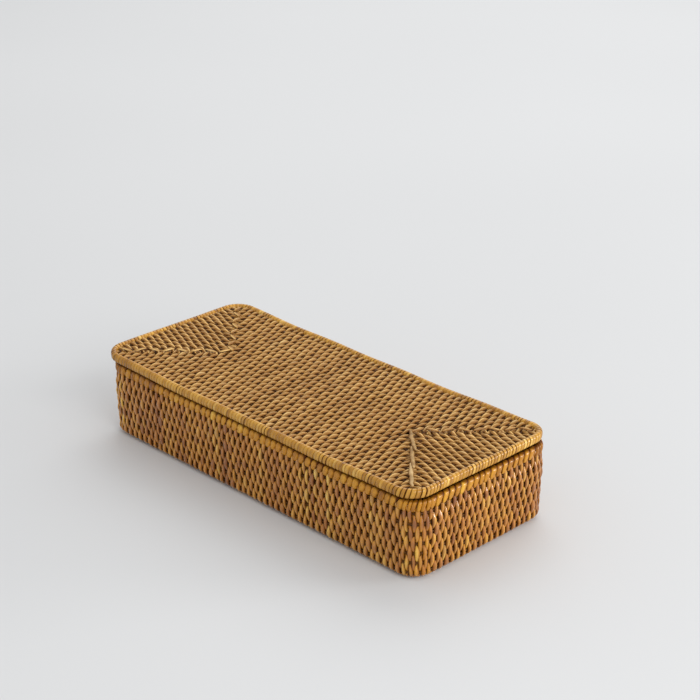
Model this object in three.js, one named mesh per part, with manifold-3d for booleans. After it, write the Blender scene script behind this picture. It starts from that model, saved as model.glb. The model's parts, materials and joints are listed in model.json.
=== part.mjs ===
// A long, low rattan box with a loose lift-off lid, both woven of flat strips over round cane cores.
// Millimetres, +Z up. X runs along the length, and the origin is the middle of the base on the ground.
// Groups of woven strips are panels with a tunnel for each core. Lid and walls are ridged over the cores.
import * as THREE from 'three';
import { mergeVertices } from 'three/addons/utils/BufferGeometryUtils.js';
import Module from 'manifold-3d';

const wasm = await Module();
wasm.setup();

// Overall sizes
const LENGTH = 360; // lid, outside
const WIDTH = 153; // lid, outside
const BOX_HEIGHT = 65.8; // ground to the crown of the box rim
const INSIDE_CORNER_RADIUS = 12.4; // upright corners of the box, inside
const CLEARANCE = 0.3; // between pieces that touch

// Weave
const CORE_DIAMETER = 2.4;
const STRIP_THICKNESS = 0.9;
const EDGE_TAPER = 2; // length over which a panel thins to the edge that its binding grips
const EDGE_SKIN = 0.6; // weave between a panel's edge and its outermost core
const WALL_CORE_COUNT = 7;
const LOWEST_CORE_HEIGHT = 6.2;
const BASE_CORE_COUNT = 8;
const LID_CORE_COUNT = 9;

// Walls
const BOX_RIM_INSET = 1.2; // box rim inside the lid's outline
const WALL_BULGE = 1.4; // outward from the rim's line, where the wall is fullest
const BULGE_HEIGHT = 46;
const WALL_TAPER = 1.7; // inward from the bulge to the ground
const BASE_EDGE_RADIUS = 4.4;

// Rims, each two stacked hoops under a wound strip
const HOOP_DIAMETER = 3;

// Lid
const LID_PANEL_DROP = 0.6; // weave below the crown of the lid rim
const LID_SHIFT_X = -2.2; // the loose lid lies a little off centre
const LID_SHIFT_Y = -0.6;
const LIP_CLEARANCE = 2.6; // around the lip, in the box's mouth
const LIP_CORNER_RADIUS = 14;
const HIP_CORD_WIDTH = 4.5;
const HIP_CORD_HEIGHT = 1.2;

// Facets
const CORNER_STEPS = 3;
const CORE_CORNER_STEPS = 2;
const CORE_SIDES = 6;
const CROWN_STEPS = 4;
const EDGE_STEPS = 3;

// Sizes that follow
const coreRadius = CORE_DIAMETER / 2;
const tunnelRadius = coreRadius + CLEARANCE;
const weaveThickness = 2 * (tunnelRadius + STRIP_THICKNESS);
const edgeThickness = 2 * (STRIP_THICKNESS + CLEARANCE);
const hoopRadius = HOOP_DIAMETER / 2;
const hoopPitch = HOOP_DIAMETER + CLEARANCE;
const cavityRadius = hoopRadius + CLEARANCE;
const bindingRadius = cavityRadius + STRIP_THICKNESS;
const bindingHeight = 2 * bindingRadius + hoopPitch;
const coreToEdge = tunnelRadius + EDGE_SKIN;
const slotHalf = edgeThickness / 2 + CLEARANCE;

// Heights
const boxRimMiddle = BOX_HEIGHT - bindingHeight / 2;
const wallEdge = BOX_HEIGHT - bindingHeight - CLEARANCE;
const wallTongueTop = boxRimMiddle - hoopPitch / 2 - cavityRadius;
const wallCorePitch = (wallEdge - coreToEdge - LOWEST_CORE_HEIGHT) / (WALL_CORE_COUNT - 1);
const lidRimMiddle = BOX_HEIGHT + CLEARANCE + bindingHeight / 2;
const lidRimTop = lidRimMiddle + bindingHeight / 2;
const lidPanelTop = lidRimTop - LID_PANEL_DROP;
const lidPanelMiddle = lidPanelTop - weaveThickness / 2;
const lipMiddle = lidPanelTop - weaveThickness - CLEARANCE - bindingHeight / 2;
const baseMiddle = weaveThickness / 2;

// Places in plan, all measured inward from the lid's outline
const boxRimInset = BOX_RIM_INSET + bindingRadius;
const bulgeInset = boxRimInset - WALL_BULGE;
const wallInsideInset = bulgeInset + WALL_TAPER + weaveThickness / 2;
const baseInset = wallInsideInset + CLEARANCE;
const lidRimInset = bindingRadius;
const lidPanelInset = 2 * bindingRadius + CLEARANCE;
const lidTongueInset = lidRimInset + cavityRadius;
const lipInset = boxRimInset + bindingRadius + LIP_CLEARANCE + bindingRadius;
const outsideCornerRadius = INSIDE_CORNER_RADIUS + wallInsideInset;
const cornerCentreX = LENGTH / 2 - outsideCornerRadius;
const cornerCentreY = WIDTH / 2 - outsideCornerRadius;
const ridgeEnd = (LENGTH - WIDTH) / 2; // where the hips of the lid and of the base meet

// Inset of the middle of the wall at a height: tucked under the rim, fullest at the bulge, narrower below
function wallInset(z) {
  if (z < BULGE_HEIGHT) {
    return bulgeInset + WALL_TAPER * (1 - z / BULGE_HEIGHT);
  }
  const rise = (z - BULGE_HEIGHT) / (wallEdge - BULGE_HEIGHT);
  return bulgeInset + WALL_BULGE * Math.min(rise, 1);
}

// A rounded rectangle in plan, inset from the lid's outline, with corners no tighter than leastRadius
function outlineAt(inset, leastRadius = 0) {
  return {
    halfLength: LENGTH / 2 - inset,
    halfWidth: WIDTH / 2 - inset,
    radius: Math.max(outsideCornerRadius - inset, leastRadius),
  };
}

// Corner centres and outward directions around a rounded rectangle, anticlockwise from above
function stationsOf(outline, cornerSteps) {
  const stations = [];
  for (let corner = 0; corner < 4; corner++) {
    const middle = (corner + 0.5) * (Math.PI / 2);
    const centre = new THREE.Vector2(
      Math.sign(Math.cos(middle)) * (outline.halfLength - outline.radius),
      Math.sign(Math.sin(middle)) * (outline.halfWidth - outline.radius),
    );
    for (let step = 0; step <= cornerSteps; step++) {
      const angle = (corner + step / cornerSteps) * (Math.PI / 2);
      stations.push({ centre, direction: new THREE.Vector2(Math.cos(angle), Math.sin(angle)) });
    }
  }
  return stations;
}

// A section of points (x outward from the outline, y up), swept once around the outline
function ring(outline, section, cornerSteps = CORNER_STEPS) {
  const stations = stationsOf(outline, cornerSteps);
  const positions = [];
  for (const { centre, direction } of stations) {
    for (const point of section) {
      const plan = direction.clone().multiplyScalar(outline.radius + point.x).add(centre);
      positions.push(plan.x, plan.y, point.y);
    }
  }
  const index = [];
  const count = section.length;
  for (let station = 0; station < stations.length; station++) {
    const here = station * count;
    const next = ((station + 1) % stations.length) * count;
    for (let side = 0; side < count; side++) {
      const above = (side + 1) % count;
      index.push(here + side, next + side, next + above);
      index.push(here + side, next + above, here + above);
    }
  }
  const geometry = new THREE.BufferGeometry();
  geometry.setAttribute('position', new THREE.Float32BufferAttribute(positions, 3));
  geometry.setIndex(index);
  return geometry;
}

// A round section, as a polygon about a height
function roundSection(radius, z) {
  const section = [];
  for (let side = 0; side < CORE_SIDES; side++) {
    const angle = (side / CORE_SIDES) * 2 * Math.PI;
    section.push(new THREE.Vector2(radius * Math.cos(angle), z + radius * Math.sin(angle)));
  }
  return section;
}

// An upright oval section around two stacked hoops
function ovalSection(radius, z) {
  const section = [];
  for (const side of [1, -1]) {
    for (let step = 0; step <= CROWN_STEPS; step++) {
      const angle = (step / CROWN_STEPS) * Math.PI;
      const across = side * radius * Math.cos(angle);
      const up = side * (hoopPitch / 2 + radius * Math.sin(angle));
      section.push(new THREE.Vector2(across, z + up));
    }
  }
  return section;
}

// A rectangle section between two corners
function boxSection(left, right, bottom, top) {
  return [
    new THREE.Vector2(left, bottom),
    new THREE.Vector2(right, bottom),
    new THREE.Vector2(right, top),
    new THREE.Vector2(left, top),
  ];
}

// The wall's section: rounded foot, bulge, and a thin edge that goes up into the rim's binding
function wallSection() {
  const half = weaveThickness / 2;
  const tongue = edgeThickness / 2;
  const shoulder = wallEdge - EDGE_TAPER;
  const footRadius = Math.min(BASE_EDGE_RADIUS, weaveThickness - CLEARANCE);
  const face = (z, outward) => new THREE.Vector2(outward - wallInset(z), z);
  const section = [face(0, -half)];
  for (let step = 0; step <= EDGE_STEPS; step++) {
    const angle = (step / EDGE_STEPS) * (Math.PI / 2);
    const z = footRadius * (1 - Math.cos(angle));
    section.push(face(z, half - footRadius * (1 - Math.sin(angle))));
  }
  section.push(face(BULGE_HEIGHT, half), face(shoulder, half), face(wallEdge, tongue));
  section.push(face(wallTongueTop, tongue), face(wallTongueTop, -tongue));
  section.push(face(wallEdge, -tongue), face(shoulder, -half), face(BULGE_HEIGHT, -half));
  return section;
}

// Solids for cutting and joining
function solidOf(geometry) {
  const bare = geometry.clone();
  bare.deleteAttribute('normal');
  bare.deleteAttribute('uv');
  const merged = mergeVertices(bare);
  return new wasm.Manifold(
    new wasm.Mesh({
      numProp: 3,
      vertProperties: new Float32Array(merged.attributes.position.array),
      triVerts: new Uint32Array(merged.index.array),
    }),
  );
}

function geometryOf(solid) {
  const { vertProperties, triVerts } = solid.getMesh();
  const geometry = new THREE.BufferGeometry();
  geometry.setAttribute('position', new THREE.BufferAttribute(new Float32Array(vertProperties), 3));
  geometry.setIndex(new THREE.BufferAttribute(new Uint32Array(triVerts), 1));
  return geometry;
}

// A flat plate inside an outline, whose faces may be drawn in by a bevel
function plate(outline, middle, thickness, taper = 0, thinning = 0) {
  const points = stationsOf(outline, CORNER_STEPS).map(({ centre, direction }) =>
    direction.clone().multiplyScalar(outline.radius).add(centre),
  );
  const geometry = new THREE.ExtrudeGeometry(new THREE.Shape(points), {
    depth: thickness - 2 * thinning,
    bevelEnabled: taper > 0,
    bevelSize: taper,
    bevelOffset: -taper,
    bevelThickness: thinning,
    bevelSegments: 1,
  });
  geometry.translate(0, 0, middle - thickness / 2 + thinning);
  return solidOf(geometry);
}

// An upright prism over a polygon in plan
function prism(points, bottom, top) {
  const shape = new THREE.Shape(points.map(([x, y]) => new THREE.Vector2(x, y)));
  const geometry = new THREE.ExtrudeGeometry(shape, { depth: top - bottom, bevelEnabled: false });
  geometry.translate(0, 0, bottom);
  return solidOf(geometry);
}

// Finishes
const strip = { color: '#a8793f', roughness: 0.55 };
const cane = { color: '#7b5428', roughness: 0.7 };
const binding = { color: '#b98c41', roughness: 0.45 };

function addPiece(group, name, geometry, { color, roughness }) {
  const material = new THREE.MeshStandardMaterial({ color, roughness, metalness: 0, flatShading: true });
  const piece = new THREE.Mesh(geometry, material);
  piece.name = name;
  group.add(piece);
}

// A round cane bent into a closed ring
function coreRing(radius, inset, z) {
  return ring(outlineAt(inset, CORE_DIAMETER), roundSection(radius, z), CORE_CORNER_STEPS);
}

// The straight cane under a ridge, from one meeting of the hips to the other
function spine(radius, halfLength, z) {
  const geometry = new THREE.CylinderGeometry(radius, radius, 2 * halfLength, CORE_SIDES);
  geometry.rotateZ(Math.PI / 2);
  geometry.translate(0, 0, z);
  return geometry;
}

// Spacing of a flat panel's cores, from the outermost ring in to the spine
function panelPitch(firstInset, count) {
  return (WIDTH / 2 - firstInset) / count;
}

// Cores of a flat panel: rings from its edge inward, then the spine, with their tunnels
function panelCores(group, prefix, firstInset, count, z) {
  const pitch = panelPitch(firstInset, count);
  const tunnels = [];
  for (let i = 0; i < count; i++) {
    const inset = firstInset + i * pitch;
    addPiece(group, `${prefix}_core_${i + 1}`, coreRing(coreRadius, inset, z), cane);
    tunnels.push(solidOf(coreRing(tunnelRadius, inset, z)));
  }
  const halfLength = ridgeEnd + coreRadius;
  addPiece(group, `${prefix}_spine`, spine(coreRadius, halfLength, z), cane);
  tunnels.push(solidOf(spine(tunnelRadius, halfLength + CLEARANCE, z)));
  return tunnels;
}

// Dips in the upper face of a flat panel between its cores, down to where the strips cross
function panelDips(firstInset, count, z) {
  const pitch = panelPitch(firstInset, count);
  const half = (pitch - CORE_DIAMETER) / 2;
  const face = z + weaveThickness / 2 + CLEARANCE;
  const section = [
    new THREE.Vector2(0, z + STRIP_THICKNESS),
    new THREE.Vector2(half, face),
    new THREE.Vector2(-half, face),
  ];
  const dips = [];
  for (let i = 0; i < count; i++) {
    const outline = outlineAt(firstInset + (i + 0.5) * pitch, half + CLEARANCE);
    dips.push(solidOf(ring(outline, section, CORE_CORNER_STEPS)));
  }
  return dips;
}

// A dip in the wall's outer face, midway between two cores
function wallDip(z) {
  const half = (wallCorePitch - CORE_DIAMETER) / 2;
  const face = weaveThickness / 2 + CLEARANCE;
  const section = [
    new THREE.Vector2(face, z - half),
    new THREE.Vector2(face, z + half),
    new THREE.Vector2(STRIP_THICKNESS, z),
  ];
  return solidOf(ring(outlineAt(wallInset(z)), section));
}

// A flat panel's strips, in three groups that meet along the hips: the middle and the two ends
function panelWeave(group, prefix, panel, bottom, top) {
  const gap = CLEARANCE * Math.SQRT2;
  const endTriangle = (side) => [
    [side * (ridgeEnd + gap), 0],
    [side * (LENGTH / 2 + gap), (side * WIDTH) / 2],
    [side * (LENGTH / 2 + gap), (-side * WIDTH) / 2],
  ];
  const middle = [
    [-LENGTH / 2, -WIDTH / 2],
    [LENGTH / 2, -WIDTH / 2],
    [ridgeEnd, 0],
    [LENGTH / 2, WIDTH / 2],
    [-LENGTH / 2, WIDTH / 2],
    [-ridgeEnd, 0],
  ];
  const zones = { middle, left: endTriangle(-1), right: endTriangle(1) };
  for (const [zone, points] of Object.entries(zones)) {
    const cut = panel.intersect(prism(points, bottom - CLEARANCE, top + CLEARANCE));
    addPiece(group, `${prefix}_weave_${zone}`, geometryOf(cut), strip);
  }
}

// Two stacked hoops and the strip wound over them, open along a slot where the weave's edge goes in
function boundRim(group, prefix, outline, middle, slot) {
  for (const [place, side] of [['upper', 1], ['lower', -1]]) {
    const hoop = ring(outline, roundSection(hoopRadius, middle + (side * hoopPitch) / 2));
    addPiece(group, `${prefix}_hoop_${place}`, hoop, cane);
  }
  const sleeve = solidOf(ring(outline, ovalSection(bindingRadius, middle)))
    .subtract(solidOf(ring(outline, ovalSection(cavityRadius, middle))))
    .subtract(solidOf(ring(outline, slot)));
  addPiece(group, `${prefix}_binding`, geometryOf(sleeve), binding);
}

function makeBase(group) {
  const tunnels = panelCores(group, 'base', baseInset + coreToEdge, BASE_CORE_COUNT, baseMiddle);
  let panel = plate(outlineAt(baseInset), baseMiddle, weaveThickness);
  for (const tunnel of tunnels) {
    panel = panel.subtract(tunnel);
  }
  panelWeave(group, 'base', panel, 0, weaveThickness);
}

// The walls' strips, in eight groups: four straight sides and four corners
function makeWalls(group) {
  let wall = solidOf(ring(outlineAt(0), wallSection()));
  for (let i = 0; i < WALL_CORE_COUNT; i++) {
    const z = LOWEST_CORE_HEIGHT + i * wallCorePitch;
    const outline = outlineAt(wallInset(z));
    addPiece(group, `wall_core_${i + 1}`, ring(outline, roundSection(coreRadius, z)), cane);
    wall = wall.subtract(solidOf(ring(outline, roundSection(tunnelRadius, z))));
    if (i > 0) {
      wall = wall.subtract(wallDip(z - wallCorePitch / 2));
    }
  }
  const spans = {
    x: { left: -1, '': 0, right: 1 },
    y: { front: -1, '': 0, back: 1 },
  };
  const limits = (side, centre, outer) => {
    const near = centre + CLEARANCE / 2;
    return side === 0 ? [CLEARANCE - near, near - CLEARANCE] : [side * near, side * outer].sort((a, b) => a - b);
  };
  for (const [placeY, sideY] of Object.entries(spans.y)) {
    for (const [placeX, sideX] of Object.entries(spans.x)) {
      if (sideX === 0 && sideY === 0) continue;
      const [left, right] = limits(sideX, cornerCentreX, LENGTH / 2);
      const [front, back] = limits(sideY, cornerCentreY, WIDTH / 2);
      const corners = [[left, front], [right, front], [right, back], [left, back]];
      const cut = wall.intersect(prism(corners, -CLEARANCE, BOX_HEIGHT));
      const name = [sideX && sideY ? 'corner_weave' : 'wall_weave', placeY, placeX].filter(Boolean).join('_');
      addPiece(group, name, geometryOf(cut), strip);
    }
  }
}

function makeBoxRim(group) {
  const slot = boxSection(-slotHalf, slotHalf, boxRimMiddle - bindingHeight, boxRimMiddle);
  boundRim(group, 'rim', outlineAt(boxRimInset), boxRimMiddle, slot);
}

function makeLidPanel(group) {
  const firstInset = lidPanelInset + coreToEdge;
  const tunnels = panelCores(group, 'lid', firstInset, LID_CORE_COUNT, lidPanelMiddle);
  const dips = panelDips(firstInset, LID_CORE_COUNT, lidPanelMiddle);
  const thinning = (weaveThickness - edgeThickness) / 2;
  let panel = plate(outlineAt(lidPanelInset), lidPanelMiddle, weaveThickness, EDGE_TAPER, thinning);
  panel = panel.add(plate(outlineAt(lidTongueInset), lidPanelMiddle, edgeThickness));
  for (const cut of [...tunnels, ...dips]) {
    panel = panel.subtract(cut);
  }
  panelWeave(group, 'lid', panel, lidPanelTop - weaveThickness, lidPanelTop);
}

function makeLidRim(group) {
  const slot = boxSection(-2 * bindingRadius, 0, lidPanelMiddle - slotHalf, lidPanelMiddle + slotHalf);
  boundRim(group, 'lid_rim', outlineAt(lidRimInset), lidRimMiddle, slot);
}

// The lip that hangs in the box's mouth and keeps the loose lid in place
function makeLip(group) {
  const outline = outlineAt(lipInset);
  outline.radius = LIP_CORNER_RADIUS - bindingRadius;
  const slot = boxSection(-slotHalf, slotHalf, lipMiddle, lipMiddle + bindingHeight);
  boundRim(group, 'lid_lip', outline, lipMiddle, slot);
}

// Low cords that cover the four hips of the lid, from the ridge to the corners
function makeHipCords(group) {
  const half = HIP_CORD_WIDTH / 2;
  const start = half + CLEARANCE;
  const cornerReach = outsideCornerRadius - lidPanelInset;
  const end = cornerCentreY * Math.SQRT2 + Math.sqrt(cornerReach ** 2 - half ** 2);
  const arch = new THREE.Shape();
  arch.moveTo(half, 0);
  arch.ellipse(-half, 0, half, HIP_CORD_HEIGHT, 0, Math.PI, false);
  const options = { depth: end - start, bevelEnabled: false, curveSegments: 3 };
  for (const [placeY, sideY] of [['front', -1], ['back', 1]]) {
    for (const [placeX, sideX] of [['left', -1], ['right', 1]]) {
      const geometry = new THREE.ExtrudeGeometry(arch, options);
      geometry.rotateX(Math.PI / 2);
      geometry.translate(0, -start, 0);
      geometry.rotateZ(Math.atan2(sideY, sideX) + Math.PI / 2);
      geometry.translate(sideX * ridgeEnd, 0, lidPanelTop + CLEARANCE);
      addPiece(group, `lid_hip_cord_${placeY}_${placeX}`, geometry, binding);
    }
  }
}

const box = new THREE.Group();
makeBase(box);
makeWalls(box);
makeBoxRim(box);

const lid = new THREE.Group();
makeLidPanel(lid);
makeLidRim(lid);
makeLip(lid);
makeHipCords(lid);
lid.position.set(LID_SHIFT_X, LID_SHIFT_Y, 0);

const wovenBox = new THREE.Group();
wovenBox.add(box, lid);

export default wovenBox;
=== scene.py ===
# A long, low rattan box with a loose lid, woven of flat strips over round cane cores.
# Metres, +Z up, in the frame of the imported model: X along the length, origin under the middle of the base.
import json
import math
from collections import namedtuple

import bpy
import numpy as np
from mathutils import Matrix, Vector


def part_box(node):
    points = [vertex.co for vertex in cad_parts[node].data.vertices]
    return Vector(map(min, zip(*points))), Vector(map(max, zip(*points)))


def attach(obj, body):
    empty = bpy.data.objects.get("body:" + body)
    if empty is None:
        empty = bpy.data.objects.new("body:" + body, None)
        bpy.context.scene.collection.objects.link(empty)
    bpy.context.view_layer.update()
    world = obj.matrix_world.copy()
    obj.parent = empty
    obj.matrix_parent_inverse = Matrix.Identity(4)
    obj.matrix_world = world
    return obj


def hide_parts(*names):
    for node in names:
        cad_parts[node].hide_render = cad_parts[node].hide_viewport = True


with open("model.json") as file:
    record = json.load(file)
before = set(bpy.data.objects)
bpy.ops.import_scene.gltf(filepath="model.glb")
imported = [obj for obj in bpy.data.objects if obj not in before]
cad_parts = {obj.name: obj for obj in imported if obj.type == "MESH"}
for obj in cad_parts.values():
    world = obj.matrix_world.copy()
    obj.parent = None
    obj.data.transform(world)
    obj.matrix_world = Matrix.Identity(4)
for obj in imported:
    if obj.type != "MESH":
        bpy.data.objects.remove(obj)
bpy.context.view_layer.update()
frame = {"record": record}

# Weave
CROWN_WIDTH = 0.0038  # a strip where it lies over a core
NECK_WIDTH = 0.0029  # a strip where it dives between its neighbours
BACK_WIDTH = 0.0062  # a strip where it lies behind a core
WALL_BACKING = (2.1, 2.1, 2.1)  # how much broader a strip's hidden side is behind, between and over cores
LID_BACKING = (1.9, 3.2, 1.9)
WIDTH_AT = (-0.4, 0.25, 1)  # height, from -1 behind a core to 1 over it, at the back, neck and crown
BACKING_AT = (-0.7, 0, 0.7)  # the same for the three backings
STRIP_THICKNESS = 0.0016
FLAT_STRIP_THICKNESS = 0.0009  # strips of the lid and the base
STRIP_LIFT = 0.00140  # middle of a strip above the middle of the core that it crosses
STRIP_SINK = 0.00120  # the same where it passes behind
STRIP_ROLL = math.radians(5)  # how far a strip turns on edge as it dives
CROWN_SHARE = 0.75  # share of the way to the next core over which a strip stays in front
WANDER = 0.00016  # sideways waver of a strip along its length
WANDER_PACE = 1.6  # radians of it for each core that the strip passes
LIFT_SPREAD = 0.13  # how much a strip's crowns differ in height, as a share
PLACE_SPREAD = 0.00024  # how far they lie beside its middle line
CROWN_WIDTH_SPREAD = 0.11  # how much they differ in width, as a share
CROWN_SHADE_SPREAD = 0.13
STRIP_WIDTH_SPREAD = 0.08  # how much whole strips differ
STRIP_SHADE_SPREAD = 0.15
ODD_STRIPS = 0.05  # share of the strips that are much paler than the rest
ODD_PALENESS = 0.3
LONG_SIDE_STRIPS = 99
SHORT_SIDE_STRIPS = 37
CORNER_STRIPS = 10
LONG_SIDE_LEAN = 0.0004  # sideways swing of the strips, which makes the crowns lean
SHORT_SIDE_LEAN = -0.0004
LID_LEAN = 0.0003
LID_TILT = math.radians(14)  # how far the lid's strips lie on edge, dark side down
CORNER_FLATNESS = 0.25  # share of the weave's relief that is lost at the upright corners
CORNER_DULLNESS = 0.10  # how much darker the strips are there
CORNER_UNEVENNESS = 1.8  # how much more their shades and places differ
RIDGE_DULLNESS = 0.12  # how much darker the lid's strips are along its middle line
RIDGE_STAIN_WIDTH = 0.022
LID_STRIP_WIDTH = 0.74  # strips of the lid, as a share of the walls' width
END_STRIP_WIDTH = 0.72
WIDEST_STRIP = 1.05  # the widest strips of the walls, as a share of the long sides' width
SHORTEST_STRIP = 0.004
LIGHT_STEEPNESS = 1.6  # how fast a strip comes into the light as it rises
HIDDEN_LIGHT = 0.05  # light on the hidden side of a crown
HIDDEN_SIDE = -0.1  # height in a round section below which its points are on the hidden side
STEPS_PER_CORE = 7
LEAST_STEPS = 6
SECTION_SIDES = 8

# Rounded corners in plan
LID_CORNER_RADIUS = 0.019  # outline of the lid
LIP_CORNER_RADIUS = 0.0113  # middle of the lip
LEAST_CANE_BEND = 0.0024

# Canes
CANE_STEP = 0.004  # between the sections of a ring
CANE_SIDES = 10
CANE_CELL_STEPS = 50  # sections in one cell of the texture map
ROD_STEPS = 40
CANE_SHADE_SPREAD = 0.12  # how much whole canes differ
ROD_SHADE_SPREAD = 0.10
CANE_SHADE_WAVE = 0.1  # how much a ring's shade varies along it
CANE_WAVE_PACE = 40  # radians of that for each metre

# Wound strips
LID_RIM_THICKNESS = 0.0007
BOX_RIM_THICKNESS = 0.0024
LID_RIM_PITCH = 0.0034
BOX_RIM_PITCH = 0.0064  # one turn for every two strips of the wall
LIP_PITCH = 0.0030
LID_RIM_SLANT = 0.10  # slant of the turns, as a slope
BOX_RIM_SLANT = 0.06
LID_TURN_WIDTH = 1.05  # width of a turn as a share of the pitch
BOX_TURN_WIDTH = 0.98
STEPS_PER_TURN = 24
RIM_SIDES = 12
GROOVE_GAP = 0.0006  # how far each rim draws back from the groove between lid and box
GROOVE_ROUND = 0.5  # share of its thickness by which a rim rounds off towards that groove
BOX_RIM_TAIL = 0.0056  # how far the turns of the box's rim reach down over the wall
TAIL_PINCH = 0.60  # share of their width that they lose there, while they draw in by half that share
BEND_CROWDING = 0.9  # how many more turns the box's rim has at its corners, as a share
SEAM_RUNS = 0.11  # share of the turns at which a few dark seams stand together
END_SEAM_RUNS = 0.12  # how much greater that share is on the short sides
SEAM_RUN = (0.4, 1.0, 0.6)  # darkness of the seams in such a run, from 0 to 1
SEAM_SPREAD = 0.25  # the most that other seams have
BOX_RIM_SEAMS = (0.30, 0.80)  # how much painted shade a seam gets at a darkness of 0 and of 1
LID_RIM_SEAMS = (0.05, 0.95)
LIP_SEAMS = (0.1, 0.8)
SEAM_FROM = 0.5  # place across a turn, where 1 is its edge, at which the seam's painted shade begins
SEAM_FADE = 0.36
GROOVE_FROM = 0.40  # place on a rim, where 1 is its edge, at which the groove's painted shade begins
GROOVE_FADE = 0.45
TURN_SPREAD = 0.13  # how far the places of the turns differ, as a share of the pitch
TURN_SHADE_SPREAD = 0.16
TURN_DRIFT = 0.10  # slow change of their shade around a rim
DRIFT_TURNS = 16  # turns over which it changes
DARK_TURNS = 0.035  # share of the turns that are very dark
DARK_TONE = 0.08
CROWDED_DULLNESS = 0.4  # how much darker turns are where they crowd
LOOP_SPOTS = 4000  # places at which a loop is searched for bends
SLIGHTEST_BEND = 0.01
TURNS_PER_MAP_ROW = 6

# Hips of the lid
HIP_STRAND_WIDTH = 0.0034
PLAIT_STRAND_WIDTH = 0.0036
HIP_STRAND_THICKNESS = 0.0009
HIP_SLIVERS = ((0.0, 0.40, 0.0, 0.0034), (0.30, 0.70, 0.0002, 0.0012),
               (0.60, 1.0, -0.0006, -0.0010))  # ends along the hip, as shares, and places beside it
LAID_HIP = ("front", "right")  # the hip with these long slivers, where the others have a plait
SLIVER_START = -0.0003  # height of a sliver's start over its place
SLIVER_RISE = 0.0007  # how much higher its end is, over the start of the next
PLAIT_LENGTH = 0.0100  # a strand of the plait, along the hip
PLAIT_SPACING = 0.0118
PLAIT_REACH = 0.0021  # how far its ends lie beside the hip
PLAIT_START = -0.0009  # height of its ends
PLAIT_BULGE = 0.0005  # how much higher its middle is
POINTED_ENDS = 0.5  # power of a strand's taper
BLUNT_ENDS = 0.22
LEAST_TAPER = 0.02
HIP_STEP = 0.0012  # between the sections of a strand
LEAST_HIP_STEPS = 8
HIP_WAVER_STEP = 0.0025  # between the random draws along it
LEAST_WAVER_STEPS = 4
HIP_WAVER = 0.00022
HIP_SWELL = 0.10  # how much its width varies, as a share
HIP_TONE = 0.60
HIP_TONE_SPREAD = 0.10
HIP_STAIN = 0.22  # how much its shade varies along it
HIP_EDGE_SHADE = 0.55
HIP_TURN_IN = 0.014  # length over which a lid strip bends into the hip
HIP_SWEEP = 0.0046  # how far its end is swept towards the corner
HIP_SLIMMING = 0.25  # share of its width that it loses there
HIP_FLATNESS = 0.75  # share of its relief that it loses there

# Hand-made unevenness
RIM_DIP = 0.0020  # sag of the rims at the middle of the length
WAVER = 0.00035  # height of its waves

# Rattan: noise steps for a metre along a strand, for half its width, and from strand to strand
FIBRE_GRAIN = (90, 5, 13)
BLOTCH_GRAIN = (120, 1.3, 29)
WORN_GRAIN = (75, 0.5, 41)
PATCH_SCALE = 23.0  # noise steps for a metre of the box
STRAND_SEEDS = 90.0  # range of the noise from strand to strand
TONE_SHARE = 0.62  # how much a strand's tone and each kind of noise count in its shade
FIBRE_SHARE = 0.55
BLOTCH_SHARE = 0.45
PATCH_SHARE = 0.35
SHADE_STOPS = (0.08, 0.92)  # where the darkest and the palest colour stand
WORN_RANGE = (0.50, 0.66)  # noise between which a stain fades in
DARK_EDGE_FADE = 0.8  # width over which the dark edge fades in, where 1 is half a strip: the pith, on the lid also painted shade
PALE_EDGE = (-0.2, -0.9)  # where the pale edge, a painted highlight on the lid's strips, begins and ends
LIT_RANGE = (0.15, 0.8)  # crown values from full painted neck shade to full colour
EDGE_SHADE = 0.25  # how much painted shade darkens both edges of a strip
SHINE_RANGE = (0.4, 0.95)  # crown values from dull to glossy
FIBRE_RANGE = (0.3, 0.7)  # fibres from smooth to rough
SMOOTHER = 0.07  # how far they are below and above the finish's own roughness
ROUGHER = 0.12
FIBRE_DEPTH = 0.00012
SPECULAR_LEVEL = 0.12
COAT_ROUGHNESS = 0.22
COAT_IOR = 1.68

# Seeds of the random draws
WALL_SEED = 11
BASE_SEED = 23
LID_SEED = 37
CANE_SEED = 5
BOX_RIM_SEED = 61
LID_RIM_SEED = 67
LIP_SEED = 71
HIP_SEED = 83

# Texture map: margins of a cell at the ends of a strip and beside it, as shares
MAP_END = 0.002
MAP_EDGE = 0.04

# Stage
FLOOR_HALF = 14.0
FLOOR_MOTTLE_SCALE = 1.3
FLOOR_BUMP = 0.0001
WORLD_LIGHT = 0.69

# Camera, from the lines of the photograph, about the middle of the lid
CAMERA_AZIMUTH = 45.50
CAMERA_ELEVATION = 23.94
CAMERA_DISTANCE = 1.447
CAMERA_RIGHT = 0.0268
CAMERA_UP = 0.0972
CAMERA_LENS = 91.4
CAMERA_SENSOR = 36.0
CAMERA_REACH = 100.0

UP = np.array((0.0, 0.0, 1.0))


def half_size(node):
    low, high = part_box(node)
    return np.array(high - low) / 2


def middle_of(node):
    low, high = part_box(node)
    return np.array(high + low) / 2


# Places that the frame gives
lid_half_x, lid_half_y, _ = half_size("lid_rim_binding")
lid_centre = middle_of("lid_rim_binding") * (1, 1, 0)
corner_x = lid_half_x - LID_CORNER_RADIUS
corner_y = lid_half_y - LID_CORNER_RADIUS
ridge_end = lid_half_x - lid_half_y
core_radius = half_size("wall_core_1")[2]
hoop_radius = half_size("rim_hoop_upper")[2]


def reach_of(node, radius=core_radius):
    """How far a ring's middle lies outside the rectangle through the corner centres."""
    return half_size(node)[0] - radius - corner_x


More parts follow.
